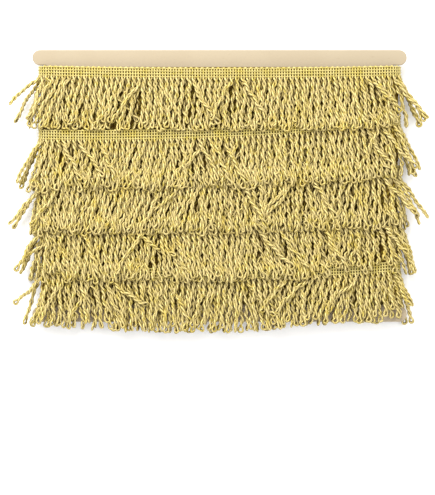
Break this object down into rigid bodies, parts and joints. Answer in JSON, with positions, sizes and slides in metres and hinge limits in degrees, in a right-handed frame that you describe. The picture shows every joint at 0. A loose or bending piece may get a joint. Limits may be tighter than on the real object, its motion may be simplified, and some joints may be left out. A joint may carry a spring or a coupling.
{
  "type": "bullion fringe on winding card",
  "caption": "Metallic twisted-cord fringe with a woven heading, wound in overlapping rows on a flat kraft card with round-ended ears; lies on its back.",
  "frame": {"origin": "middle of the footprint, on the surface that the fringe's back lies on", "axes": "+X to the right along the rows, +Y towards the card's top edge, +Z out of the front of the card"},
  "size_m": [0.3248, 0.2187, 0.0228],
  "materials": {
    "kraft_board": "matt kraft paper board",
    "gold_yarn": "twisted yarn with a gold metallic sparkle"
  },
  "bodies": {
    "root": {"winding_card": "kraft_board", "inner_turns": "gold_yarn", "heading": "gold_yarn", "skirt_turn_1": "gold_yarn", "skirt_turn_2": "gold_yarn", "skirt_turn_3": "gold_yarn", "skirt_turn_4": "gold_yarn", "skirt_turn_5": "gold_yarn"}
  },
  "joints": []
}
